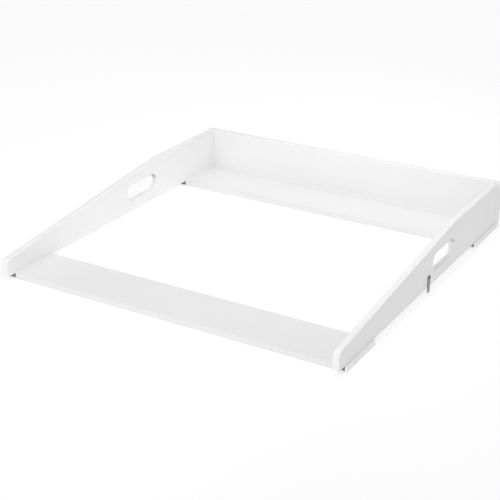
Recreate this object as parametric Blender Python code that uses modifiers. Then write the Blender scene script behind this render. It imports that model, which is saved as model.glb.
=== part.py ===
"""Changing top that stands on a dresser: an open frame of white boards, in metres, +Z up.

Two side panels with a sloping top edge and a handle slot each, a back panel, and two planks that the
walls stand on. The dresser's top lies between the planks, so that the planks carry on its surface to the
front and to the back. A steel plate on each side panel swivels on one screw and is screwed to the
dresser through its free hole. The origin is at the middle of the frame, level with the planks'
undersides; the front is at -Y.
"""

import math
from collections import namedtuple

import bmesh
import bpy
from mathutils import Matrix, Vector

# The frame
FRAME_WIDTH = 0.800
FRAME_DEPTH = 0.833
BOARD_THICKNESS = 0.015
PLANK_THICKNESS = 0.013
WALL_HEIGHT = 0.100
FRONT_PLANK_SETBACK = 0.0245
FRONT_PLANK_DEPTH = 0.122
REAR_PLANK_DEPTH = 0.1535
END_REVEAL = 0.0035

# The side panels' outline
NOSE_HEIGHT = 0.038
NOSE_RADIUS = 0.014
SLOPE_LENGTH = 0.553
HANDLE_START = 0.4325
HANDLE_LENGTH = 0.120
HANDLE_HEIGHT = 0.040
HANDLE_RISE = 0.0235

# Tongues of the side panels, which drop into slots in the planks' ends
TONGUE_SETBACK = 0.003
TONGUE_LENGTH = 0.057
TONGUE_CORNER_RADIUS = 0.002
TONGUE_SHORTFALL = 0.0005
TONGUE_ROOT = 0.008

# Routed edges and fits
PANEL_ROUNDING = 0.0018
PLANK_ROUNDING = 0.0010
PLANK_CORNER_RADIUS = 0.0015
PLATE_ROUNDING = 0.0003
CLEARANCE = 0.0003
OVERRUN = 0.004
ARC_STEP = math.radians(9)
PLATE_ARC_STEP = math.radians(18)
ROUNDING_RINGS = 1
TURN_STEPS = 16
DOME_STEPS = 4
WELD_DISTANCE = 0.00001
FLAT_ANGLE = math.radians(0.5)

# The steel plates
PLATE_LENGTH = 0.040
PLATE_WIDTH = 0.012
PLATE_THICKNESS = 0.0015
PLATE_HOLE_MARGIN = 0.006
PLATE_HOLE_RADIUS = 0.0022
PLATE_SETBACK = 0.4115
PLATE_GROUND_CLEARANCE = 0.0005

# Screws and dowels
Screw = namedtuple("Screw", "head_radius head_height rim_height shank_radius length tip_length")
BOARD_SCREW = Screw(0.0038, 0.0026, 0.0004, 0.0020, 0.040, 0.005)
BACK_SCREW = Screw(0.0038, 0.0026, 0.0004, 0.0020, 0.050, 0.005)
PLATE_SCREW = Screw(0.0036, 0.0022, 0.0006, 0.00175, 0.013, 0.004)
HEAD_SINK = 0.0004
RECESS_WIDTH = 0.0009
RECESS_SPAN = 0.0042
RECESS_DEPTH = 0.0014
DOWEL_RADIUS = 0.004
DOWEL_LENGTH = 0.030
DOWEL_CHAMFER = 0.001
DOWEL_SHORT_SIDE = 0.010

# Places of the plank screws, as shares of the land between a slot's end and the rear end of the joint
PLANK_SCREW_SHARES = (0.28, 0.68)

# Places along the back panel, as shares of its height above the planks and of the frame's half width
BACK_SCREW_RISE_SHARES = (0.45, 0.82)
BACK_DOWEL_RISE_SHARE = 0.635
SILL_SCREW_SHARES = (-0.75, -0.25, 0.25, 0.75)
SILL_DOWEL_SHARES = (-0.5, 0.0, 0.5)

# Places that follow from the sizes above
FRONT = -FRAME_DEPTH / 2
BACK = FRAME_DEPTH / 2
PANEL_REAR = BACK - BOARD_THICKNESS - CLEARANCE
PANEL_MIDDLE = (FRAME_WIDTH - BOARD_THICKNESS) / 2
WALL_FOOT = PLANK_THICKNESS + CLEARANCE
WALL_TOP = PLANK_THICKNESS + WALL_HEIGHT
PLANK_HALF_WIDTH = FRAME_WIDTH / 2 + END_REVEAL
FRONT_PLANK_FRONT = FRONT + FRONT_PLANK_SETBACK
FRONT_PLANK_REAR = FRONT_PLANK_FRONT + FRONT_PLANK_DEPTH
REAR_PLANK_FRONT = BACK - REAR_PLANK_DEPTH
SLOT_DEPTH = TONGUE_SETBACK + TONGUE_LENGTH + CLEARANCE
TONGUE_THICKNESS = BOARD_THICKNESS - 2 * CLEARANCE
PLATE_LOW = PLATE_GROUND_CLEARANCE
PLATE_PIVOT_HEIGHT = PLATE_LOW + PLATE_LENGTH - PLATE_HOLE_MARGIN
PLATE_INNER_FACE = FRAME_WIDTH / 2 + CLEARANCE
SIDES = (("right", 1), ("left", -1))

# The right plate hangs ready for the dresser's side, and the left one is swivelled up out of the way
PLATE_TURNS = {"right": 0, "left": math.pi}

UP = Vector((0, 0, 1))
DOWN = Vector((0, 0, -1))
REARWARD = Vector((0, 1, 0))


# Scene, collections and materials
def clear_scene():
    for obj in list(bpy.data.objects):
        bpy.data.objects.remove(obj, do_unlink=True)


def new_collection(name):
    collection = bpy.data.collections.new(name)
    bpy.context.scene.collection.children.link(collection)
    return collection


def new_material(name, colour, roughness, metallic=0.0):
    material = bpy.data.materials.new(name)
    material.use_nodes = True
    shader = material.node_tree.nodes["Principled BSDF"]
    shader.inputs["Base Color"].default_value = (*colour, 1)
    shader.inputs["Roughness"].default_value = roughness
    shader.inputs["Metallic"].default_value = metallic
    material.diffuse_color = (*colour, 1)
    return material


clear_scene()
PARTS = new_collection("dresser_changing_top")
CUTTERS = new_collection("cutters")
WHITE_LACQUER = new_material("white_lacquer", (0.88, 0.88, 0.88), 0.35)
STEEL = new_material("zinc_plated_steel", (0.55, 0.56, 0.57), 0.35, 1.0)
BEECH = new_material("beech", (0.62, 0.43, 0.26), 0.6)


# Building blocks
def evaluated_mesh(obj):
    """The mesh of an object with its modifiers, or of a curve, welded and in the object's own frame."""
    bpy.context.view_layer.update()
    graph = bpy.context.evaluated_depsgraph_get()
    mesh = bpy.data.meshes.new_from_object(obj.evaluated_get(graph))
    shape = bmesh.new()
    shape.from_mesh(mesh)
    bmesh.ops.remove_doubles(shape, verts=shape.verts, dist=WELD_DISTANCE)
    bmesh.ops.recalc_face_normals(shape, faces=shape.faces)
    shape.to_mesh(mesh)
    shape.free()
    return mesh


def add_object(name, mesh, collection, material=None, matrix=None):
    obj = bpy.data.objects.new(name, mesh)
    collection.objects.link(obj)
    if matrix is not None:
        obj.matrix_world = matrix
    if material is not None:
        mesh.materials.clear()
        mesh.materials.append(material)
        mesh.shade_smooth()
        mesh.set_sharp_from_angle(angle=math.radians(35))
    if collection is CUTTERS:
        obj.hide_render = True
        obj.display_type = "WIRE"
    return obj


def combine(obj, operation, others):
    for other in others:
        modifier = obj.modifiers.new(operation.lower() + "_" + other.name, "BOOLEAN")
        modifier.operation = operation
        modifier.solver = "EXACT"
        modifier.object = other


def cut(obj, *cutters):
    combine(obj, "DIFFERENCE", cutters)


def join(obj, *additions):
    combine(obj, "UNION", additions)


def corner_arc(before, here, after, radius, arc_step):
    """The points of an arc of that radius which rounds the corner at here."""
    to_before = (before - here).normalized()
    to_after = (after - here).normalized()
    opening = to_before.angle(to_after)
    reach = radius / math.tan(opening / 2)
    centre = here + (to_before + to_after).normalized() * radius / math.sin(opening / 2)
    start = here + to_before * reach - centre
    end = here + to_after * reach - centre
    turn = math.atan2(start.x * end.y - start.y * end.x, start.dot(end))
    steps = max(2, math.ceil(abs(turn) / arc_step))
    return [centre + Matrix.Rotation(turn * step / steps, 2) @ start for step in range(steps + 1)]


def rounded_outline(corners, arc_step):
    """A closed outline from corners (u, v, radius); a radius of zero leaves the corner sharp."""
    points = []
    for index, (u, v, radius) in enumerate(corners):
        here = Vector((u, v))
        if radius == 0:
            points.append(here)
            continue
        before = Vector(corners[index - 1][:2])
        after = Vector(corners[(index + 1) % len(corners)][:2])
        points += corner_arc(before, here, after, radius, arc_step)
    return [point for index, point in enumerate(points) if (point - points[index - 1]).length > WELD_DISTANCE]


def rectangle(low_u, low_v, high_u, high_v, radius):
    corners = [(low_u, low_v), (high_u, low_v), (high_u, high_v), (low_u, high_v)]
    return [(u, v, radius) for u, v in corners]


def board_mesh(name, outlines, thickness, rounding, arc_step=ARC_STEP):
    """A flat board across its own Z axis, its later outlines cut out, every rim rounded over."""
    curve = bpy.data.curves.new(name, "CURVE")
    curve.dimensions = "2D"
    curve.fill_mode = "BOTH"
    curve.extrude = thickness / 2 - rounding
    curve.bevel_depth = rounding
    curve.bevel_resolution = ROUNDING_RINGS
    curve.offset = -rounding
    for outline in outlines:
        points = rounded_outline(outline, arc_step)
        spline = curve.splines.new("POLY")
        spline.points.add(len(points) - 1)
        for spline_point, point in zip(spline.points, points):
            spline_point.co = (point.x, point.y, 0, 1)
        spline.use_cyclic_u = True
    guide = bpy.data.objects.new(name + "_outline", curve)
    CUTTERS.objects.link(guide)
    mesh = evaluated_mesh(guide)
    mesh.name = name
    bpy.data.objects.remove(guide)
    shape = bmesh.new()
    shape.from_mesh(mesh)
    bmesh.ops.dissolve_degenerate(shape, dist=WELD_DISTANCE, edges=shape.edges)
    bmesh.ops.dissolve_limit(shape, angle_limit=FLAT_ANGLE, verts=shape.verts, edges=shape.edges)
    shape.to_mesh(mesh)
    shape.free()
    return mesh


def turned_mesh(name, profile):
    """A turned shape from (radius, height) points that run from the top of the axis to its bottom."""
    mesh = bpy.data.meshes.new(name + "_profile")
    points = [(radius, 0, height) for radius, height in profile]
    mesh.from_pydata(points, [(index, index + 1) for index in range(len(points) - 1)], [])
    guide = bpy.data.objects.new(name + "_profile", mesh)
    CUTTERS.objects.link(guide)
    screw = guide.modifiers.new("turn", "SCREW")
    screw.steps = TURN_STEPS
    screw.render_steps = TURN_STEPS
    screw.use_merge_vertices = True
    screw.merge_threshold = WELD_DISTANCE
    turned = evaluated_mesh(guide)
    turned.name = name
    bpy.data.objects.remove(guide)
    return turned


def gathered_mesh(name, mesh, matrices):
    """One mesh that holds a copy of the given one at each matrix, as separate bodies."""
    shape = bmesh.new()
    for matrix in matrices:
        copy = mesh.copy()
        copy.transform(matrix)
        shape.from_mesh(copy)
        bpy.data.meshes.remove(copy)
    gathered = bpy.data.meshes.new(name)
    shape.to_mesh(gathered)
    shape.free()
    return gathered


def facing(place, outward):
    """A frame at place whose Z axis points outward."""
    return Matrix.Translation(place) @ UP.rotation_difference(Vector(outward)).to_matrix().to_4x4()


# A board's own axes (u, v) against the frame's axes
ACROSS_X = Matrix(((0, 0, 1, 0), (1, 0, 0, 0), (0, 1, 0, 0), (0, 0, 0, 1)))
ACROSS_Y = Matrix(((1, 0, 0, 0), (0, 0, -1, 0), (0, 1, 0, 0), (0, 0, 0, 1)))


# Fasteners
def screw_body(size, countersunk):
    """Profile of a screw, its head's bearing plane at height zero if it is not countersunk."""
    tip = [(size.shank_radius, size.tip_length - size.length), (0, -size.length)]
    if countersunk:
        head = [(0, 0), (size.head_radius, 0), (size.head_radius, -size.rim_height)]
        return head + [(size.shank_radius, -size.head_height)] + tip
    dome = size.head_height - size.rim_height
    head = []
    for step in range(DOME_STEPS + 1):
        angle = math.pi / 2 * step / DOME_STEPS
        head.append((size.head_radius * math.sin(angle), size.rim_height + dome * math.cos(angle)))
    return head + [(size.head_radius, 0), (size.shank_radius, 0)] + tip


def recess_mesh(top):
    """A cross-shaped driver recess, cut down from the top of a head."""
    shape = bmesh.new()
    for turn in (0, math.pi / 2):
        bar = Matrix.Diagonal((RECESS_SPAN, RECESS_WIDTH, RECESS_DEPTH + OVERRUN, 1))
        lift = Matrix.Translation((0, 0, top + (OVERRUN - RECESS_DEPTH) / 2))
        bmesh.ops.create_cube(shape, size=1, matrix=lift @ Matrix.Rotation(turn, 4, "Z") @ bar)
    mesh = bpy.data.meshes.new("recess")
    shape.to_mesh(mesh)
    shape.free()
    return mesh


def screw_mesh(name, size, countersunk=True):
    top = 0 if countersunk else size.head_height
    blank = add_object(name + "_blank", turned_mesh(name, screw_body(size, countersunk)), CUTTERS)
    recess = add_object(name + "_recess", recess_mesh(top), CUTTERS)
    cut(blank, recess)
    blank.modifiers[0].use_self = True
    mesh = evaluated_mesh(blank)
    bpy.data.objects.remove(blank)
    bpy.data.objects.remove(recess)
    return mesh


def screw_hole_mesh(name, size):
    """The countersunk hole that holds a screw with a clearance all round, open past the head."""
    wide = size.head_radius + CLEARANCE
    narrow = size.shank_radius + CLEARANCE
    neck = -size.head_height - CLEARANCE
    bottom = -size.length - CLEARANCE
    profile = [(0, OVERRUN), (wide, OVERRUN), (wide, -size.rim_height)]
    profile += [(narrow, neck), (narrow, bottom), (0, bottom)]
    return turned_mesh(name, profile)


def dowel_mesh(name, extra):
    """A chamfered dowel along Z, or the hole for it if extra is its clearance."""
    radius = DOWEL_RADIUS + extra
    half = DOWEL_LENGTH / 2 + extra
    chamfer = 0 if extra else DOWEL_CHAMFER
    profile = [(0, half), (radius - chamfer, half), (radius, half - chamfer)]
    profile += [(radius, chamfer - half), (radius - chamfer, -half), (0, -half)]
    distinct = [point for index, point in enumerate(profile) if index == 0 or point != profile[index - 1]]
    return turned_mesh(name, distinct)


def add_fasteners(name, solid, hole, places, material):
    """Identical fasteners, numbered where there are several, and one cutter for all their holes."""
    for number, place in enumerate(places, 1):
        numbered = name if len(places) == 1 else f"{name}_{number}"
        add_object(numbered, solid.copy(), PARTS, material, place)
    return add_object(name + "_holes", gathered_mesh(name + "_holes", hole, places), CUTTERS)


# Boards
def panel_outline():
    """A side panel seen from the right, before its foot and rear edge are trimmed.

    Here and in the other outlines of a side panel, u runs to the back and v runs up.
    """
    foot = PLANK_THICKNESS - OVERRUN
    rear = PANEL_REAR + OVERRUN
    corners = [(FRONT, foot, 0), (rear, foot, 0), (rear, WALL_TOP, 0)]
    return corners + [(FRONT + SLOPE_LENGTH, WALL_TOP, 0), (FRONT, WALL_FOOT + NOSE_HEIGHT, NOSE_RADIUS)]


def panel_trim_outline():
    """What the trim leaves of a side panel, whose foot stands on the planks.

    Between the planks the foot comes down level with their top faces, where it rests on the dresser.
    """
    front = FRONT - OVERRUN
    top = WALL_TOP + OVERRUN
    seat_front = FRONT_PLANK_REAR + CLEARANCE
    seat_rear = REAR_PLANK_FRONT - CLEARANCE
    corners = [(front, WALL_FOOT, 0), (seat_front, WALL_FOOT, 0), (seat_front, PLANK_THICKNESS, 0)]
    corners += [(seat_rear, PLANK_THICKNESS, 0), (seat_rear, WALL_FOOT, 0), (PANEL_REAR, WALL_FOOT, 0)]
    return corners + [(PANEL_REAR, top, 0), (front, top, 0)]


def tongue_outline(plank_front):
    start = plank_front + TONGUE_SETBACK
    end = start + TONGUE_LENGTH
    return rectangle(start, TONGUE_SHORTFALL, end, WALL_FOOT + TONGUE_ROOT, TONGUE_CORNER_RADIUS)


def handle_outline():
    start = FRONT + HANDLE_START
    low = PLANK_THICKNESS + HANDLE_RISE
    return rectangle(start, low, start + HANDLE_LENGTH, low + HANDLE_HEIGHT, HANDLE_HEIGHT / 2)


def plank_outline(front, back):
    """A plank seen from above, with the slots for the tongues open to its front."""
    inner = FRAME_WIDTH / 2 - BOARD_THICKNESS
    outer = FRAME_WIDTH / 2
    end = front + SLOT_DEPTH
    corners = [(-PLANK_HALF_WIDTH, front, 0)]
    corners += [(-outer, front, 0), (-outer, end, 0), (-inner, end, 0), (-inner, front, 0)]
    corners += [(inner, front, 0), (inner, end, 0), (outer, end, 0), (outer, front, 0)]
    corners += [(PLANK_HALF_WIDTH, front, 0), (PLANK_HALF_WIDTH, back, PLANK_CORNER_RADIUS)]
    return corners + [(-PLANK_HALF_WIDTH, back, PLANK_CORNER_RADIUS)]


def wall_board(name, outlines, trim, place):
    """A wall with rounded rims, trimmed square where it meets other boards."""
    mesh = board_mesh(name, outlines, BOARD_THICKNESS, PANEL_ROUNDING)
    wall = add_object(name, mesh, PARTS, WHITE_LACQUER, place)
    trim_mesh = board_mesh(name + "_trim", [trim], BOARD_THICKNESS + 2 * OVERRUN, 0)
    combine(wall, "INTERSECT", [add_object(name + "_trim", trim_mesh, CUTTERS, matrix=place)])
    return wall


def side_panel(side, sign):
    place = Matrix.Translation((sign * PANEL_MIDDLE, 0, 0)) @ ACROSS_X
    outlines = [panel_outline(), handle_outline()]
    panel = wall_board("side_panel_" + side, outlines, panel_trim_outline(), place)
    for plank_name, plank_front in (("front", FRONT_PLANK_FRONT), ("rear", REAR_PLANK_FRONT)):
        tongue_name = f"{plank_name}_tongue_{side}"
        tongue = board_mesh(tongue_name, [tongue_outline(plank_front)], TONGUE_THICKNESS, PLANK_ROUNDING)
        join(panel, add_object(tongue_name, tongue, CUTTERS, matrix=place))
    return panel


def plank(name, front, back):
    mesh = board_mesh(name, [plank_outline(front, back)], PLANK_THICKNESS, PLANK_ROUNDING)
    place = Matrix.Translation((0, 0, PLANK_THICKNESS / 2))
    return add_object(name, mesh, PARTS, WHITE_LACQUER, place)


def back_panel():
    outline = rectangle(-PLANK_HALF_WIDTH, PLANK_THICKNESS - OVERRUN, PLANK_HALF_WIDTH, WALL_TOP, 0)
    past_end = PLANK_HALF_WIDTH + OVERRUN
    trim = rectangle(-past_end, WALL_FOOT, past_end, WALL_TOP + OVERRUN, 0)
    place = Matrix.Translation((0, BACK - BOARD_THICKNESS / 2, 0)) @ ACROSS_Y
    return wall_board("back_panel", [outline], trim, place)


def safety_plate(side, sign):
    """A steel strip with a hole at each end, its origin on the axis of its upper hole."""
    below = PLATE_LENGTH - PLATE_HOLE_MARGIN
    strip = rectangle(-PLATE_WIDTH / 2, -below, PLATE_WIDTH / 2, PLATE_HOLE_MARGIN, PLATE_WIDTH / 2)
    radius = PLATE_HOLE_RADIUS
    hole_heights = (0, PLATE_HOLE_MARGIN - below)
    holes = [rectangle(-radius, height - radius, radius, height + radius, radius) for height in hole_heights]
    outlines = [strip, *holes]
    mesh = board_mesh("safety_plate_" + side, outlines, PLATE_THICKNESS, PLATE_ROUNDING, PLATE_ARC_STEP)
    middle = sign * (PLATE_INNER_FACE + PLATE_THICKNESS / 2)
    pivot = Matrix.Translation((middle, FRONT + PLATE_SETBACK, PLATE_PIVOT_HEIGHT))
    place = pivot @ Matrix.Rotation(PLATE_TURNS[side], 4, "X") @ ACROSS_X
    return add_object("safety_plate_" + side, mesh, PARTS, STEEL, place)


def plate_screw(side, sign):
    """The screw that a plate swivels on, with its pilot hole in the side panel."""
    head_plane = sign * (PLATE_INNER_FACE + PLATE_THICKNESS + CLEARANCE)
    place = facing((head_plane, FRONT + PLATE_SETBACK, PLATE_PIVOT_HEIGHT), (sign, 0, 0))
    name = "plate_screw_" + side
    add_object(name, screw_mesh(name, PLATE_SCREW, False), PARTS, STEEL, place)
    radius = PLATE_SCREW.shank_radius + CLEARANCE
    bottom = -PLATE_SCREW.length - CLEARANCE
    pilot = turned_mesh(name + "_pilot", [(0, OVERRUN), (radius, OVERRUN), (radius, bottom), (0, bottom)])
    return add_object(name + "_pilot", pilot, CUTTERS, matrix=place)


# The frame's assembly
def build():
    front_plank = plank("front_plank", FRONT_PLANK_FRONT, FRONT_PLANK_REAR)
    rear_plank = plank("rear_plank", REAR_PLANK_FRONT, BACK)
    back = back_panel()
    board_screw = screw_mesh("board_screw", BOARD_SCREW)
    board_screw_hole = screw_hole_mesh("board_screw_hole", BOARD_SCREW)
    back_screw = screw_mesh("back_screw", BACK_SCREW)
    back_screw_hole = screw_hole_mesh("back_screw_hole", BACK_SCREW)
    dowel = dowel_mesh("dowel", 0)
    dowel_hole = dowel_mesh("dowel_hole", CLEARANCE)

    for side, sign in SIDES:
        panel = side_panel(side, sign)
        across = sign * PANEL_MIDDLE
        for plank_name, board, plank_front, joint_rear in (
            ("front", front_plank, FRONT_PLANK_FRONT, FRONT_PLANK_REAR),
            ("rear", rear_plank, REAR_PLANK_FRONT, PANEL_REAR),
        ):
            slot_end = plank_front + SLOT_DEPTH
            land = joint_rear - slot_end
            depths = [slot_end + land * share for share in PLANK_SCREW_SHARES]
            places = [facing((across, depth, HEAD_SINK), DOWN) for depth in depths]
            name = plank_name + "_plank_screw_" + side
            holes = add_fasteners(name, board_screw, board_screw_hole, places, STEEL)
            cut(board, holes)
            cut(panel, holes)
        heights = [PLANK_THICKNESS + WALL_HEIGHT * share for share in BACK_SCREW_RISE_SHARES]
        places = [facing((across, BACK - HEAD_SINK, height), REARWARD) for height in heights]
        screw_holes = add_fasteners("back_screw_" + side, back_screw, back_screw_hole, places, STEEL)
        height = PLANK_THICKNESS + WALL_HEIGHT * BACK_DOWEL_RISE_SHARE
        middle = BACK - BOARD_THICKNESS + DOWEL_SHORT_SIDE - DOWEL_LENGTH / 2
        place = facing((across, middle, height), REARWARD)
        dowel_holes = add_fasteners("back_dowel_" + side, dowel, dowel_hole, [place], BEECH)
        cut(back, screw_holes, dowel_holes)
        cut(panel, screw_holes, dowel_holes, plate_screw(side, sign))
        safety_plate(side, sign)

    wall_middle = BACK - BOARD_THICKNESS / 2
    half = FRAME_WIDTH / 2
    places = [facing((half * share, wall_middle, HEAD_SINK), DOWN) for share in SILL_SCREW_SHARES]
    sill_screw_holes = add_fasteners("sill_screw", board_screw, board_screw_hole, places, STEEL)
    middle = PLANK_THICKNESS - DOWEL_SHORT_SIDE + DOWEL_LENGTH / 2
    places = [facing((half * share, wall_middle, middle), UP) for share in SILL_DOWEL_SHARES]
    sill_dowel_holes = add_fasteners("sill_dowel", dowel, dowel_hole, places, BEECH)
    cut(rear_plank, sill_screw_holes, sill_dowel_holes)
    cut(back, sill_screw_holes, sill_dowel_holes)


build()
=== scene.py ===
"""Looks of the dresser changing top: lacquered boards, zinc-plated plates and screws, studio light."""

import math

import bmesh
import bpy
from mathutils import Matrix, Vector


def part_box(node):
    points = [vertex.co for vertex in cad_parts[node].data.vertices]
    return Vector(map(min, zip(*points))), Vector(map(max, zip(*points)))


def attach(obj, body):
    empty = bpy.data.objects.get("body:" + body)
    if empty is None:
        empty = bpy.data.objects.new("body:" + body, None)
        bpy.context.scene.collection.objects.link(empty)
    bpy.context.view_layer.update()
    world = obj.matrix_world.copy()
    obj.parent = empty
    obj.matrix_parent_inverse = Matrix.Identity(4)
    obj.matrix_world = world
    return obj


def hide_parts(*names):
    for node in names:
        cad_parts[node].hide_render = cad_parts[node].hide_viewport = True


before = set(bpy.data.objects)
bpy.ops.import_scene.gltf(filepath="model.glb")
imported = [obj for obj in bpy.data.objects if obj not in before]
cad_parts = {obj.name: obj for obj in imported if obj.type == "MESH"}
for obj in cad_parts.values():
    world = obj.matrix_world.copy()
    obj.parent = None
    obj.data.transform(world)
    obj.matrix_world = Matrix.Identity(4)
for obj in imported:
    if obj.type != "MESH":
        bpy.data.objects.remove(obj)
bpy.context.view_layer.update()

# Camera, fitted to the photograph's straight edges; lens in the photograph's pixels, sensor in millimetres
IMAGE_PIXELS = 500
FOCAL_PIXELS = 1155.72
SENSOR_WIDTH = 36.0
CAMERA_PLACE = (1.1915, -2.0606, 1.0583)
CAMERA_TILT = 1.1542
CAMERA_TURN = 0.5368

# Light: a dome, and boxes above the right wall, in front of the frame and toward its left wall
DOME_EDGE = 1.58
DOME_SIDE_DIM = 0.97
OVERHEAD_PLACE = (0.34, 0.0, 0.5)
OVERHEAD_TARGET = (0.392, 0.0, 0.1)
OVERHEAD_SIZE = (1.0, 0.08)
OVERHEAD_SPREAD = 100
OVERHEAD_POWER = 0.25
FRONT_PLACE = (0.0, -4.2, 1.9)
FRONT_TARGET = (0.0, 0.0, 0.05)
FRONT_SIZE = (0.75, 1.6)
FRONT_POWER = 9
WALL_PLACE = (0.36, 0.0, 0.75)
WALL_TARGET = (-0.385, 0.0, 0.03)
WALL_SIZE = (2.2, 0.25)
WALL_SPREAD = 110
WALL_POWER = 2.3
FLOOR_SIZE = 80
FLOOR_WHITE = 0.42
FLOOR_GLOW = 0.61
FLOOR_ROUGHNESS = 0.9

# Boards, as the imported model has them
PANEL_LOW, PANEL_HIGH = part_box("side_panel_right")
FRAME_HALF_WIDTH = PANEL_HIGH[0]
BOARD_THICKNESS = PANEL_HIGH[0] - PANEL_LOW[0]
PLANK_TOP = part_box("front_plank")[1][2]
TONGUE_SLOT_DEPTH = 0.0603

# Handle slots, as the imported model has them: their front end's Y, lowest Z, length and round ends,
# and how far over their rims the painted highlight on their floors and the painted shade above reach
GRIP_START = 0.016
GRIP_LOW = 0.0365
GRIP_LENGTH = 0.120
GRIP_RADIUS = 0.020
GRIP_MARGIN = 0.0009

# Bead of lacquer along the joints of the walls and planks, a hair's breadth off both faces
BEAD_LEG = 0.0010
BEAD_WAIST = 0.00040
BEAD_GAP = 0.00002

# Screws
SCREW_SIDES = 24
HEAD_RADIUS = 0.0038
HEAD_RIM = 0.0004
HEAD_CONE = 0.0022
PAN_RADIUS = 0.0036
PAN_DOME = 0.0015
PAN_RIM = 0.0006
PAN_STEPS = 8
SHANK_RADIUS = 0.0019
CORE_RADIUS = 0.0013
THREAD_RIDGE = 0.0006
THREAD_PITCH = 0.0018
THREAD_STEPS = 6
THREAD_HALF_TURN = 0.25
TIP_LENGTH = 0.005
TIP_RADIUS = 0.0003
SMOOTH_SHANK = 0.006
PLATE_SCREW_SHANK = 0.0018
PLATE_SCREW_CORE = 0.0012
PLATE_SCREW_RIDGE = 0.0005
RECESS_SPAN = 0.0042
RECESS_WIDTH = 0.0009
RECESS_DEPTH = 0.0015
RECESS_TAPER = 0.45
RECESS_TURN = math.radians(37)
LENGTH_DIGITS = 4

# Dowels
DOWEL_RADIUS = 0.004
DOWEL_LENGTH = 0.030
DOWEL_CHAMFER = 0.001
DOWEL_FLUTES = 20
FLUTE_DEPTH = 0.00018
POINTS_PER_FLUTE = 4

# Steel plates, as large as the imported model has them
PLATE_LOW, PLATE_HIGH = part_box("safety_plate_right")
PLATE_THICKNESS, PLATE_WIDTH, PLATE_LENGTH = PLATE_HIGH - PLATE_LOW
PLATE_HOLE_MARGIN = 0.006
PLATE_HOLE_RADIUS = 0.0022
PLATE_ROUNDING = 0.0004
PLATE_ROUNDING_STEPS = 3
ARC_POINTS = 24

# Noises, as scale per metre, detail and roughness; stretched ones have their scale in the stretch
CLOUD_NOISE = (7, 3.0)
PEEL_NOISE = (700, 2.0)
EDGE_PEEL_NOISE = (1500, 3.0)
PATCH_NOISE = (55, 4.0, 0.7)
RUB_NOISE = (1.0, 5.0, 0.6)
FIBRE_NOISE = (1400, 5.0, 0.75)
MOTTLE_NOISE = (260, 4.0)
BRUSH_NOISE = (1.0, 3.0)
GRAIN_NOISE = (1.0, 4.0)
SOFT_SPREAD = (0.35, 0.65)
WIDE_SPREAD = (0.3, 0.7)

# Lacquer; a turn is how far a normal points along an axis, from 0 when square to it to 1 when along it
LACQUER_FACE = (0.885, 0.885, 0.883)
LACQUER_SHADE = (0.873, 0.873, 0.871)
LACQUER_EDGE = (0.865, 0.865, 0.863)
# Lighter lacquer: a painted highlight on the planks' ends and on the floors of the handle slots
PAINTED_HIGHLIGHT_LACQUER = (0.95, 0.95, 0.948)
WORN_LACQUER = (0.66, 0.65, 0.63)
# Grey on the downward-facing parts of the handle slots: painted shade
GRIP_PAINTED_SHADE = (0.52, 0.517, 0.510)
# The planks' lacquer is painted darker than the walls': painted shade on the planks
PLANK_SHADE_TONE = 0.89
# The beads are painted lighter than the lacquer: a painted highlight that lightens the shade in the joints
BEAD_HIGHLIGHT_TONE = 1.07
RIM_WEAR = 0.25
PATCH_SPREAD = (0.56, 0.74)
EDGE_TURN = (0.35, 0.95)
UPRIGHT_TURN = 0.5
GRIP_FLOOR_TURN = (0.3, 0.8)
GRIP_CEILING_TURN = (-0.15, -0.5)
PEEL_DEPTH = 0.00002
EDGE_PEEL_DEPTH = 0.00001
SPECK_SCALE = 90
SPECK_RADIUS = 0.05
SPECK_DEPTH = 0.00003
RUB_STRETCH = (9, 160, 160)
LACQUER_ROUGHNESS = (0.30, 0.42)
EDGE_ROUGHNESS = 0.10
LACQUER_SPECULAR = 0.45
# Milled fibreboard in the tongues and slots: its own colour, made darker and greyer as painted shade
FIBREBOARD_AND_SHADE_LIGHT = (0.23, 0.215, 0.195)
FIBREBOARD_AND_SHADE_DARK = (0.14, 0.13, 0.115)

# Steel
ZINC_LIGHT = (0.33, 0.335, 0.34)
ZINC_DARK = (0.25, 0.255, 0.265)
FLAKE_SCALE = 450
FLAKE_SHARE = 0.5
MOTTLE_SPREAD = (0.35, 1.05)
BRUSH_STRETCH = (900, 900, 60)
BRUSH_DEPTH = 0.00001
ZINC_ROUGHNESS = (0.36, 0.52)

# Beech
BEECH_LIGHT = (0.63, 0.44, 0.27)
BEECH_DARK = (0.47, 0.30, 0.17)
GRAIN_STRETCH = (900, 60, 900)
GRAIN_SPREAD = (0.35, 0.7)
GRAIN_DEPTH = 0.00004
BEECH_ROUGHNESS = 0.65

# Meshes and node trees
WELD_DISTANCE = 0.00001
CRISP_ANGLE = math.radians(50)
SMOOTH_ANGLE = math.radians(35)
MIX_FIRST, MIX_SECOND, MIX_RESULT = 6, 7, 2


# Node trees
def new_material(name):
    material = bpy.data.materials.new(name)
    material.use_nodes = True
    return material.node_tree, material.node_tree.nodes["Principled BSDF"], material


def add_node(tree, kind, settings=None, inputs=None):
    """A shader node with its settings; an input is a value, or another node's output to link."""
    node = tree.nodes.new(kind)
    for name, value in (settings or {}).items():
        setattr(node, name, value)
    for name, value in (inputs or {}).items():
        if isinstance(value, bpy.types.NodeSocket):
            tree.links.new(value, node.inputs[name])
        else:
            node.inputs[name].default_value = value
    return node


def math_node(tree, operation, first, second=None, third=None):
    values = enumerate((first, second, third))
    inputs = {index: value for index, value in values if value is not None}
    return add_node(tree, "ShaderNodeMath", {"operation": operation}, inputs).outputs[0]


def noise(tree, vector, scale, detail=2.0, roughness=0.5):
    inputs = {"Vector": vector, "Scale": scale, "Detail": detail, "Roughness": roughness}
    return add_node(tree, "ShaderNodeTexNoise", None, inputs).outputs["Fac"]


def spread(tree, value, old, new=(0.0, 1.0)):
    """Maps the range old to the range new, clamped."""
    inputs = {"Value": value, "From Min": old[0], "From Max": old[1], "To Min": new[0], "To Max": new[1]}
    return add_node(tree, "ShaderNodeMapRange", {"clamp": True}, inputs).outputs["Result"]


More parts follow.
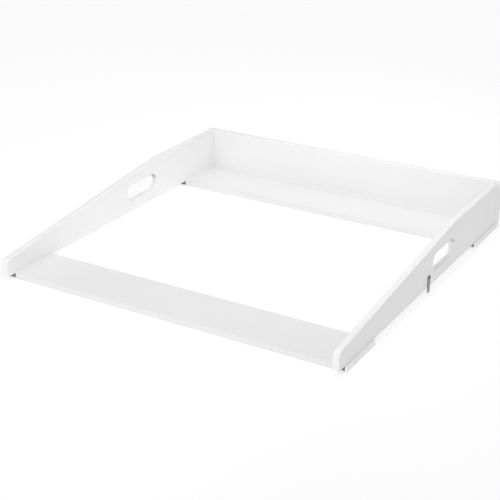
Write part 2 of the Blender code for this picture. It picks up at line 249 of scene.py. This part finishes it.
def mix_colour(tree, factor, first, second):
    node = add_node(tree, "ShaderNodeMix", {"data_type": "RGBA"})
    for index, value in (("Factor", factor), (MIX_FIRST, first), (MIX_SECOND, second)):
        socket = node.inputs[index]
        if isinstance(value, bpy.types.NodeSocket):
            tree.links.new(value, socket)
        else:
            socket.default_value = (*value, 1) if isinstance(value, tuple) else value
    return node.outputs[MIX_RESULT]


def part(tree, vector, axis):
    return add_node(tree, "ShaderNodeSeparateXYZ", None, {"Vector": vector}).outputs[axis]


def size_of(tree, value):
    return math_node(tree, "ABSOLUTE", value)


def stretched(tree, vector, scale):
    inputs = {"Vector": vector, "Scale": scale}
    return add_node(tree, "ShaderNodeMapping", None, inputs).outputs["Vector"]


def bump(tree, height, distance, normal=None):
    inputs = {"Height": height, "Distance": distance, "Strength": 1.0}
    if normal is not None:
        inputs["Normal"] = normal
    return add_node(tree, "ShaderNodeBump", None, inputs).outputs["Normal"]


# Materials
def fibreboard_and_shade(tree, where):
    """Colour of the milled board in the tongues and their slots, which no lacquer reaches, made darker and
    greyer as painted shade in the slots.
    """
    fibres = spread(tree, noise(tree, where, *FIBRE_NOISE), SOFT_SPREAD)
    return mix_colour(tree, fibres, FIBREBOARD_AND_SHADE_LIGHT, FIBREBOARD_AND_SHADE_DARK)


def in_tongue(tree, where, _):
    """The tongues of a side panel lie below the planks' top faces."""
    mask = math_node(tree, "LESS_THAN", part(tree, where, "Z"), PLANK_TOP - WELD_DISTANCE)
    return mask, fibreboard_and_shade(tree, where)


def in_slot(tree, where, normal):
    """The walls of a plank's slots stand between the side panels' faces, up to the slots' rear ends."""
    slot_middle = FRAME_HALF_WIDTH - BOARD_THICKNESS / 2
    slot_half_width = BOARD_THICKNESS / 2 + BEAD_GAP
    mask = math_node(tree, "COMPARE", size_of(tree, part(tree, where, "X")), slot_middle, slot_half_width)
    upright = math_node(tree, "LESS_THAN", size_of(tree, part(tree, normal, "Z")), UPRIGHT_TURN)
    mask = math_node(tree, "MULTIPLY", mask, upright)
    near_slot = None
    for plank in ("front_plank", "rear_plank"):
        slot_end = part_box(plank)[0][1] + TONGUE_SLOT_DEPTH + BEAD_LEG
        middle = slot_end - TONGUE_SLOT_DEPTH / 2
        inside = math_node(tree, "COMPARE", part(tree, where, "Y"), middle, TONGUE_SLOT_DEPTH / 2)
        near_slot = inside if near_slot is None else math_node(tree, "MAXIMUM", near_slot, inside)
    return math_node(tree, "MULTIPLY", mask, near_slot), fibreboard_and_shade(tree, where)


def on_reveal(tree, where, _):
    """A plank's ends, which show past the side panels, are painted lighter than the lacquer: a painted
    highlight.
    """
    mask = math_node(tree, "GREATER_THAN", size_of(tree, part(tree, where, "X")), FRAME_HALF_WIDTH)
    return mask, PAINTED_HIGHLIGHT_LACQUER


def in_grip(tree, where):
    """The walls and rims of a handle slot lie around the middle line of its straight part."""
    along = math_node(tree, "SUBTRACT", part(tree, where, "Y"), GRIP_START + GRIP_LENGTH / 2)
    past_end = math_node(tree, "SUBTRACT", size_of(tree, along), GRIP_LENGTH / 2 - GRIP_RADIUS)
    past_end = math_node(tree, "MAXIMUM", past_end, 0.0)
    above = math_node(tree, "SUBTRACT", part(tree, where, "Z"), GRIP_LOW + GRIP_RADIUS)
    squared = math_node(tree, "MULTIPLY_ADD", above, above, math_node(tree, "MULTIPLY", past_end, past_end))
    return math_node(tree, "LESS_THAN", squared, (GRIP_RADIUS + GRIP_MARGIN) ** 2)


def grip_floor(tree, where, normal):
    """The floor of a handle slot is painted lighter than the lacquer: a painted highlight."""
    upward = spread(tree, part(tree, normal, "Z"), GRIP_FLOOR_TURN)
    return math_node(tree, "MULTIPLY", in_grip(tree, where), upward), PAINTED_HIGHLIGHT_LACQUER


def grip_ceiling(tree, where, normal):
    """The downward-facing parts of a handle slot are painted grey: painted shade."""
    downward = spread(tree, part(tree, normal, "Z"), GRIP_CEILING_TURN)
    return math_node(tree, "MULTIPLY", in_grip(tree, where), downward), GRIP_PAINTED_SHADE


def toned(colour, tone):
    return tuple(tone * channel for channel in colour)


def lacquer(name, thickness_axis, patches=(), tone=1.0, wear=RIM_WEAR):
    """Sprayed white lacquer on fibreboard: smooth on the board's faces, a little coarser on its cut edges,
    and thin along its rounded rims. Each patch gives a mask and the colour that shows there."""
    tree, shader, material = new_material(name)
    place = add_node(tree, "ShaderNodeTexCoord")
    where = place.outputs["Object"]
    normal = place.outputs["Normal"]

    along = add_node(tree, "ShaderNodeVectorMath", {"operation": "DOT_PRODUCT"},
                     {0: normal, 1: thickness_axis}).outputs["Value"]
    cut_edge = spread(tree, size_of(tree, along), EDGE_TURN, (1.0, 0.0))
    face = math_node(tree, "SUBTRACT", 1.0, cut_edge)
    highest_product = 0.25
    rim = math_node(tree, "DIVIDE", math_node(tree, "MULTIPLY", cut_edge, face), highest_product)

    cloud = spread(tree, noise(tree, where, *CLOUD_NOISE), SOFT_SPREAD)
    colour = mix_colour(tree, cloud, toned(LACQUER_FACE, tone), toned(LACQUER_SHADE, tone))
    colour = mix_colour(tree, cut_edge, colour, toned(LACQUER_EDGE, tone))
    patchy = spread(tree, noise(tree, where, *PATCH_NOISE), PATCH_SPREAD)
    worn = math_node(tree, "MULTIPLY", math_node(tree, "MULTIPLY", rim, patchy), wear)
    colour = mix_colour(tree, worn, colour, WORN_LACQUER)
    for patch in patches:
        mask, patch_colour = patch(tree, where, normal)
        colour = mix_colour(tree, mask, colour, patch_colour)
    tree.links.new(colour, shader.inputs["Base Color"])

    rubbed = noise(tree, stretched(tree, where, RUB_STRETCH), *RUB_NOISE)
    roughness = spread(tree, rubbed, WIDE_SPREAD, LACQUER_ROUGHNESS)
    roughness = math_node(tree, "ADD", roughness, math_node(tree, "MULTIPLY", cut_edge, EDGE_ROUGHNESS))
    tree.links.new(roughness, shader.inputs["Roughness"])

    speck_cells = add_node(tree, "ShaderNodeTexVoronoi", None, {"Vector": where, "Scale": SPECK_SCALE})
    speck = spread(tree, speck_cells.outputs["Distance"], (0.0, SPECK_RADIUS), (1.0, 0.0))
    surface = bump(tree, noise(tree, where, *PEEL_NOISE), PEEL_DEPTH)
    edge_height = math_node(tree, "MULTIPLY", noise(tree, where, *EDGE_PEEL_NOISE), cut_edge)
    surface = bump(tree, edge_height, EDGE_PEEL_DEPTH, surface)
    surface = bump(tree, speck, SPECK_DEPTH, surface)
    tree.links.new(surface, shader.inputs["Normal"])
    shader.inputs["Specular IOR Level"].default_value = LACQUER_SPECULAR
    return material


def zinc(name):
    """Zinc-plated steel: a mottled, slightly brushed grey."""
    tree, shader, material = new_material(name)
    where = add_node(tree, "ShaderNodeTexCoord").outputs["Object"]
    cells = add_node(tree, "ShaderNodeTexVoronoi", None, {"Vector": where, "Scale": FLAKE_SCALE})
    flake = add_node(tree, "ShaderNodeSeparateColor", None, {"Color": cells.outputs["Color"]}).outputs[0]
    mottle = math_node(tree, "MULTIPLY_ADD", flake, FLAKE_SHARE, noise(tree, where, *MOTTLE_NOISE))
    colour = mix_colour(tree, spread(tree, mottle, MOTTLE_SPREAD), ZINC_LIGHT, ZINC_DARK)
    tree.links.new(colour, shader.inputs["Base Color"])
    brushed = noise(tree, stretched(tree, where, BRUSH_STRETCH), *BRUSH_NOISE)
    tree.links.new(spread(tree, brushed, WIDE_SPREAD, ZINC_ROUGHNESS), shader.inputs["Roughness"])
    tree.links.new(bump(tree, brushed, BRUSH_DEPTH), shader.inputs["Normal"])
    shader.inputs["Metallic"].default_value = 1
    return material


def beech(name):
    """Raw beech with short dark flecks along the grain."""
    tree, shader, material = new_material(name)
    where = add_node(tree, "ShaderNodeTexCoord").outputs["Object"]
    grain = noise(tree, stretched(tree, where, GRAIN_STRETCH), *GRAIN_NOISE)
    colour = mix_colour(tree, spread(tree, grain, GRAIN_SPREAD), BEECH_LIGHT, BEECH_DARK)
    tree.links.new(colour, shader.inputs["Base Color"])
    tree.links.new(bump(tree, grain, GRAIN_DEPTH), shader.inputs["Normal"])
    shader.inputs["Roughness"].default_value = BEECH_ROUGHNESS
    return material


def paint(name, material):
    """Gives a CAD node its material, smooth shading over its rounded rims, and crisp square corners."""
    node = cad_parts[name]
    node.data.materials.clear()
    node.data.materials.append(material)
    weld = node.modifiers.new("weld", "WELD")
    weld.merge_threshold = WELD_DISTANCE
    crisp = node.modifiers.new("crisp_corners", "EDGE_SPLIT")
    crisp.use_edge_sharp = False
    crisp.split_angle = CRISP_ANGLE
    node.modifiers.new("shade", "WEIGHTED_NORMAL").keep_sharp = False


# Pieces
def add_piece(name, mesh, material, place=None, node=None, body="frame"):
    """Puts a finished mesh on its body, in place of a CAD node where one is named."""
    piece = bpy.data.objects.new(name, mesh)
    bpy.context.scene.collection.objects.link(piece)
    if place is not None:
        piece.matrix_world = place
    if not mesh.materials:
        mesh.materials.append(material)
    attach(piece, body)
    if node:
        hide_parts(node)
    return piece


def ring_mesh(name, profile, sides, wave):
    """A closed body of rings along Z. Each ring has a height, a radius, and the share of the wave that it
    carries, which raises or lowers its points by their height and angle."""
    body = bmesh.new()
    rings = []
    for height, radius, ridge in profile:
        ring = []
        for side in range(sides):
            angle = math.tau * side / sides
            reach = radius + ridge * wave(height, angle)
            ring.append(body.verts.new((reach * math.cos(angle), reach * math.sin(angle), height)))
        rings.append(ring)
    for upper, lower in zip(rings, rings[1:]):
        for side in range(sides):
            after = (side + 1) % sides
            body.faces.new((upper[side], lower[side], lower[after], upper[after]))
    body.faces.new(rings[0])
    body.faces.new(reversed(rings[-1]))
    return finished_mesh(name, body)


def finished_mesh(name, body):
    bmesh.ops.recalc_face_normals(body, faces=body.faces)
    mesh = bpy.data.meshes.new(name)
    body.to_mesh(mesh)
    body.free()
    mesh.shade_smooth()
    mesh.set_sharp_from_angle(angle=SMOOTH_ANGLE)
    return mesh


def thread_wave(height, angle):
    """One V-shaped ridge that winds down the shank, from 0 in its valley to 1 on its crest."""
    turn = (height / THREAD_PITCH + angle / math.tau) % 1
    return max(0.0, 1 - abs(turn - 0.5) / THREAD_HALF_TURN)


def shank_profile(top, bottom, thread_top, smooth, core, ridge):
    """A smooth neck, a thread below it, and a thread that narrows to the tip."""
    profile = [(top, smooth, 0), (thread_top, smooth, 0)]
    step = THREAD_PITCH / THREAD_STEPS
    count = int((thread_top - bottom) / step)
    for index in range(1, count):
        height = thread_top - index * step
        taper = min(1.0, (height - bottom) / TIP_LENGTH)
        profile.append((height, TIP_RADIUS + (core - TIP_RADIUS) * taper, ridge * taper))
    return profile + [(bottom, TIP_RADIUS, 0)]


def flat_head_profile(length):
    """A countersunk screw, with the face of its head at height 0."""
    neck = -HEAD_RIM - HEAD_CONE
    rim = HEAD_RIM / 2
    head = [(0, HEAD_RADIUS - rim, 0), (-rim, HEAD_RADIUS, 0), (-HEAD_RIM, HEAD_RADIUS, 0)]
    thread_top = neck - SMOOTH_SHANK
    return head + shank_profile(neck, -length, thread_top, SHANK_RADIUS, CORE_RADIUS, THREAD_RIDGE)


def pan_head_profile(length):
    """A screw with a domed head, its top at height 0."""
    head = []
    for step in range(1, PAN_STEPS + 1):
        angle = math.pi / 2 * step / PAN_STEPS
        head.append((-PAN_DOME * (1 - math.cos(angle)), PAN_RADIUS * math.sin(angle), 0))
    seat = -PAN_DOME - PAN_RIM
    head.append((seat, PAN_RADIUS, 0))
    thread_top = seat - PLATE_THICKNESS
    thread = (PLATE_SCREW_SHANK, PLATE_SCREW_CORE, PLATE_SCREW_RIDGE)
    return head + shank_profile(seat, -length, thread_top, *thread)


def recess_cutter():
    """A cross of two wedges that narrow downwards, its top above the head."""
    body = bmesh.new()
    for span, width in ((RECESS_SPAN, RECESS_WIDTH), (RECESS_WIDTH, RECESS_SPAN)):
        cube = bmesh.ops.create_cube(body, size=1)["verts"]
        for vert in cube:
            taper = 1.0 if vert.co.z > 0 else RECESS_TAPER
            vert.co.x *= span * (taper if span == RECESS_SPAN else 1)
            vert.co.y *= width * (taper if width == RECESS_SPAN else 1)
            vert.co.z *= 2 * RECESS_DEPTH
    return finished_mesh("recess_cutter", body)


def with_recess(mesh):
    """The screw with a cross recess in its head."""
    cutter = bpy.data.objects.new("recess_cutter", recess_cutter())
    screw = bpy.data.objects.new(mesh.name + "_uncut", mesh)
    for piece in (cutter, screw):
        bpy.context.scene.collection.objects.link(piece)
    cut = screw.modifiers.new("recess", "BOOLEAN")
    cut.object = cutter
    cut.use_self = True
    bpy.context.view_layer.update()
    result = bpy.data.meshes.new_from_object(screw.evaluated_get(bpy.context.evaluated_depsgraph_get()))
    for piece in (cutter, screw):
        bpy.data.objects.remove(piece)
    return result


def pointing(place, axis, turn=0.0):
    """The matrix that puts a mesh's origin at a place and its Z along an axis."""
    rotation = Vector(axis).to_track_quat("Z", "Y").to_matrix().to_4x4()
    return Matrix.Translation(place) @ rotation @ Matrix.Rotation(turn, 4, "Z")


def outer_face(node, axis):
    """The middle of the side of a node's box that an axis points to."""
    low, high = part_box(node)
    return [(h if a > 0 else l if a < 0 else (l + h) / 2) for l, h, a in zip(low, high, axis)]


def length_along(node, axis):
    low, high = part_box(node)
    return sum(abs(a) * (h - l) for l, h, a in zip(low, high, axis))


def screw_axis(node):
    if node.startswith("back_screw"):
        return (0, 1, 0)
    if node == "plate_screw_right":
        return (1, 0, 0)
    if node == "plate_screw_left":
        return (-1, 0, 0)
    return (0, 0, -1)


def add_screws(material):
    """A threaded screw with a cross recess for each screw's node, turned to where its drive ended."""
    meshes = {}
    for index, node in enumerate(sorted(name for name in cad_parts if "screw" in name)):
        axis = screw_axis(node)
        kind = "pan" if node.startswith("plate_screw") else "flat"
        length = round(length_along(node, axis), LENGTH_DIGITS)
        if (kind, length) not in meshes:
            profile = pan_head_profile(length) if kind == "pan" else flat_head_profile(length)
            mesh = ring_mesh(f"{kind}_screw", profile, SCREW_SIDES, thread_wave)
            meshes[kind, length] = with_recess(mesh)
        place = pointing(outer_face(node, axis), axis, index * RECESS_TURN)
        add_piece(node + "_threaded", meshes[kind, length], material, place, node)


def flute_wave(height, angle):
    """From 0 on a ridge to -1 in a flute, alike at all heights."""
    return -(1 + math.cos(DOWEL_FLUTES * angle)) / 2


def add_dowels(material):
    """Fluted dowels with chamfered ends."""
    half = DOWEL_LENGTH / 2
    tip = DOWEL_RADIUS - DOWEL_CHAMFER
    profile = [(half, tip, 0), (half - DOWEL_CHAMFER, DOWEL_RADIUS, FLUTE_DEPTH),
               (DOWEL_CHAMFER - half, DOWEL_RADIUS, FLUTE_DEPTH), (-half, tip, 0)]
    mesh = ring_mesh("fluted_dowel", profile, DOWEL_FLUTES * POINTS_PER_FLUTE, flute_wave)
    for node in sorted(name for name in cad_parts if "dowel" in name):
        low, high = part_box(node)
        axis = (0, 1, 0) if node.startswith("back") else (0, 0, 1)
        middle = [(l + h) / 2 for l, h in zip(low, high)]
        add_piece(node + "_fluted", mesh, material, pointing(middle, axis), node)


def arc_points(centre, radius, start, sweep, count):
    """Points on an arc around a centre in the plate's plane."""
    points = []
    for index in range(count):
        angle = start + sweep * index / (count - 1)
        points.append((centre[0] + radius * math.cos(angle), centre[1] + radius * math.sin(angle)))
    return points


def plate_mesh():
    """A strip with half-round ends and two holes, its rims rolled, its origin on its upper hole's axis."""
    reach = PLATE_LENGTH - 2 * PLATE_HOLE_MARGIN
    end_rise = PLATE_HOLE_MARGIN - PLATE_WIDTH / 2
    radius = PLATE_WIDTH / 2
    strip = arc_points((0, end_rise), radius, 0, math.pi, ARC_POINTS)
    strip += arc_points((0, -reach - end_rise), radius, math.pi, math.pi, ARC_POINTS)
    outlines = [strip]
    for height in (0, -reach):
        hole = arc_points((0, height), PLATE_HOLE_RADIUS, 0, math.tau, 2 * ARC_POINTS)
        outlines.append(hole[:-1])
    curve = bpy.data.curves.new("safety_plate", "CURVE")
    curve.dimensions = "2D"
    curve.fill_mode = "BOTH"
    curve.bevel_depth = PLATE_ROUNDING
    curve.bevel_resolution = PLATE_ROUNDING_STEPS
    curve.offset = -PLATE_ROUNDING
    curve.extrude = PLATE_THICKNESS / 2 - PLATE_ROUNDING
    for outline in outlines:
        spline = curve.splines.new("POLY")
        spline.points.add(len(outline) - 1)
        spline.use_cyclic_u = True
        for point, (x, y) in zip(spline.points, outline):
            point.co = (x, y, 0, 1)
    holder = bpy.data.objects.new("safety_plate", curve)
    bpy.context.scene.collection.objects.link(holder)
    bpy.context.view_layer.update()
    solid = bpy.data.meshes.new_from_object(holder.evaluated_get(bpy.context.evaluated_depsgraph_get()))
    bpy.data.objects.remove(holder)
    body = bmesh.new()
    body.from_mesh(solid)
    bmesh.ops.remove_doubles(body, verts=body.verts, dist=WELD_DISTANCE)
    return finished_mesh("safety_plate", body)


def add_plates(material):
    """The plates, in their bodies, at their places at rest: the right one down and the left one up."""
    mesh = plate_mesh()
    for side, sign, turn in (("right", 1, 0), ("left", -1, math.pi)):
        node = "safety_plate_" + side
        low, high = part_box(node)
        upper = high[2] - PLATE_HOLE_MARGIN if turn == 0 else low[2] + PLATE_HOLE_MARGIN
        middle = Vector([(low[0] + high[0]) / 2, (low[1] + high[1]) / 2, upper])
        upright = Matrix.Rotation(math.pi / 2, 4, "Z") @ Matrix.Rotation(math.pi / 2, 4, "X")
        place = Matrix.Translation(middle) @ Matrix.Rotation(turn, 4, "X") @ upright
        add_piece(node + "_rolled", mesh, material, place, node, "plate_" + side)


def bead_mesh(name, start, end, toward, rise):
    """A thin fillet of lacquer from start to end, in the corner that two faces make."""
    body = bmesh.new()
    start, end, toward, rise = (Vector(v) for v in (start, end, toward, rise))
    section = ((BEAD_GAP, BEAD_GAP), (BEAD_LEG, BEAD_GAP), (BEAD_WAIST, BEAD_WAIST), (BEAD_GAP, BEAD_LEG))
    rings = [[body.verts.new(point + toward * a + rise * b) for a, b in section] for point in (start, end)]
    for index in range(len(section)):
        after = (index + 1) % len(section)
        body.faces.new((rings[0][index], rings[0][after], rings[1][after], rings[1][index]))
    body.faces.new(rings[0])
    body.faces.new(reversed(rings[1]))
    return finished_mesh(name, body)


def add_beads(material):
    """Lacquer beads along the feet of the walls, outside and inside, and up the rear corners."""
    front_low, front_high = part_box("front_plank")
    rear_low, rear_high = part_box("rear_plank")
    panel_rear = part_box("side_panel_right")[1][1]
    back_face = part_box("back_panel")[0][1]
    wall_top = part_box("back_panel")[1][2]
    top = front_high[2]
    inner = FRAME_HALF_WIDTH - BOARD_THICKNESS
    up = (0, 0, 1)
    forward = (0, -1, 0)
    beads = []
    for side, sign in (("right", 1), ("left", -1)):
        inward = (-sign, 0, 0)
        outward = (sign, 0, 0)
        for plank, low, high in (("front", front_low, front_high), ("rear", rear_low, rear_high)):
            start = low[1] + 2 * BEAD_LEG
            end = high[1] - 2 * BEAD_LEG
            outer_end = end if plank == "front" else panel_rear
            inner_end = end if plank == "front" else back_face - BEAD_LEG
            x = sign * FRAME_HALF_WIDTH
            beads.append((f"{plank}_outer_bead_{side}", (x, start, top), (x, outer_end, top), outward, up))
            x = sign * inner
            beads.append((f"{plank}_inner_bead_{side}", (x, start, top), (x, inner_end, top), inward, up))
        foot = top + BEAD_LEG
        head = wall_top - 2 * BEAD_LEG
        x = sign * inner
        beads.append((f"corner_bead_{side}", (x, back_face, foot), (x, back_face, head), inward, forward))
        x = sign * FRAME_HALF_WIDTH
        beads.append((f"end_bead_{side}", (x, back_face, foot), (x, back_face, head), outward, forward))
    span = inner - BEAD_LEG
    beads.append(("sill_bead", (-span, back_face, top), (span, back_face, top), forward, up))
    for name, start, end, toward, rise in beads:
        add_piece(name, bead_mesh(name, start, end, toward, rise), material)


# Stage
def add_camera():
    data = bpy.data.cameras.new("camera")
    data.sensor_width = SENSOR_WIDTH
    data.lens = FOCAL_PIXELS / IMAGE_PIXELS * SENSOR_WIDTH
    camera = bpy.data.objects.new("camera", data)
    camera.location = CAMERA_PLACE
    camera.rotation_euler = (CAMERA_TILT, 0, CAMERA_TURN)
    bpy.context.scene.collection.objects.link(camera)
    bpy.context.scene.camera = camera


def add_softbox(name, place, target, size, power, spread_degrees=180):
    data = bpy.data.lights.new(name, "AREA")
    data.shape = "RECTANGLE"
    data.size, data.size_y = size
    data.energy = power
    data.spread = math.radians(spread_degrees)
    light = bpy.data.objects.new(name, data)
    light.location = place
    light.rotation_euler = (Vector(target) - Vector(place)).to_track_quat("-Z", "Y").to_euler()
    light.visible_camera = False
    bpy.context.scene.collection.objects.link(light)


def add_dome():
    """Bright above and in front, dimmer to the sides and behind, and an even white where it is seen."""
    world = bpy.data.worlds.new("dome")
    bpy.context.scene.world = world
    world.use_nodes = True
    tree = world.node_tree
    direction = add_node(tree, "ShaderNodeTexCoord").outputs["Generated"]
    parts = add_node(tree, "ShaderNodeSeparateXYZ", None, {"Vector": direction}).outputs
    sideways = math_node(tree, "MAXIMUM", math_node(tree, "ABSOLUTE", parts["X"]), parts["Y"])
    strength = math_node(tree, "MULTIPLY_ADD", sideways, -DOME_SIDE_DIM * DOME_EDGE, DOME_EDGE)
    seen = add_node(tree, "ShaderNodeLightPath").outputs["Is Camera Ray"]
    strength = math_node(tree, "MAXIMUM", strength, seen)
    background = tree.nodes["Background"]
    background.inputs["Color"].default_value = (1, 1, 1, 1)
    tree.links.new(strength, background.inputs["Strength"])


def add_floor():
    bpy.ops.mesh.primitive_plane_add(size=FLOOR_SIZE)
    floor = bpy.context.object
    floor.name = "floor"
    tree, shader, material = new_material("pale_floor")
    shader.inputs["Base Color"].default_value = (FLOOR_WHITE, FLOOR_WHITE, FLOOR_WHITE, 1)
    shader.inputs["Roughness"].default_value = FLOOR_ROUGHNESS
    shader.inputs["Emission Color"].default_value = (1, 1, 1, 1)
    shader.inputs["Emission Strength"].default_value = FLOOR_GLOW
    floor.data.materials.append(material)


bpy.context.scene.view_settings.view_transform = "Standard"
add_camera()
add_dome()
add_floor()
add_softbox("overhead_box", OVERHEAD_PLACE, OVERHEAD_TARGET, OVERHEAD_SIZE, OVERHEAD_POWER, OVERHEAD_SPREAD)
add_softbox("front_box", FRONT_PLACE, FRONT_TARGET, FRONT_SIZE, FRONT_POWER)
add_softbox("wall_box", WALL_PLACE, WALL_TARGET, WALL_SIZE, WALL_POWER, WALL_SPREAD)

PANEL_LACQUER = lacquer("lacquer_side_panel", (1, 0, 0), (grip_floor, grip_ceiling, in_tongue))
for name in ("side_panel_right", "side_panel_left"):
    paint(name, PANEL_LACQUER)
# The planks' darker tone is painted shade
PLANK_LACQUER = lacquer("lacquer_plank", (0, 0, 1), (on_reveal, in_slot), PLANK_SHADE_TONE)
for name in ("front_plank", "rear_plank"):
    paint(name, PLANK_LACQUER)
paint("back_panel", lacquer("lacquer_back_panel", (0, 1, 0)))
# The beads' lighter tone is a painted highlight
add_beads(lacquer("lacquer_bead", (0, 0, 1), tone=BEAD_HIGHLIGHT_TONE, wear=0))
STEEL = zinc("zinc_plating")
add_plates(STEEL)
add_screws(STEEL)
add_dowels(beech("raw_beech"))
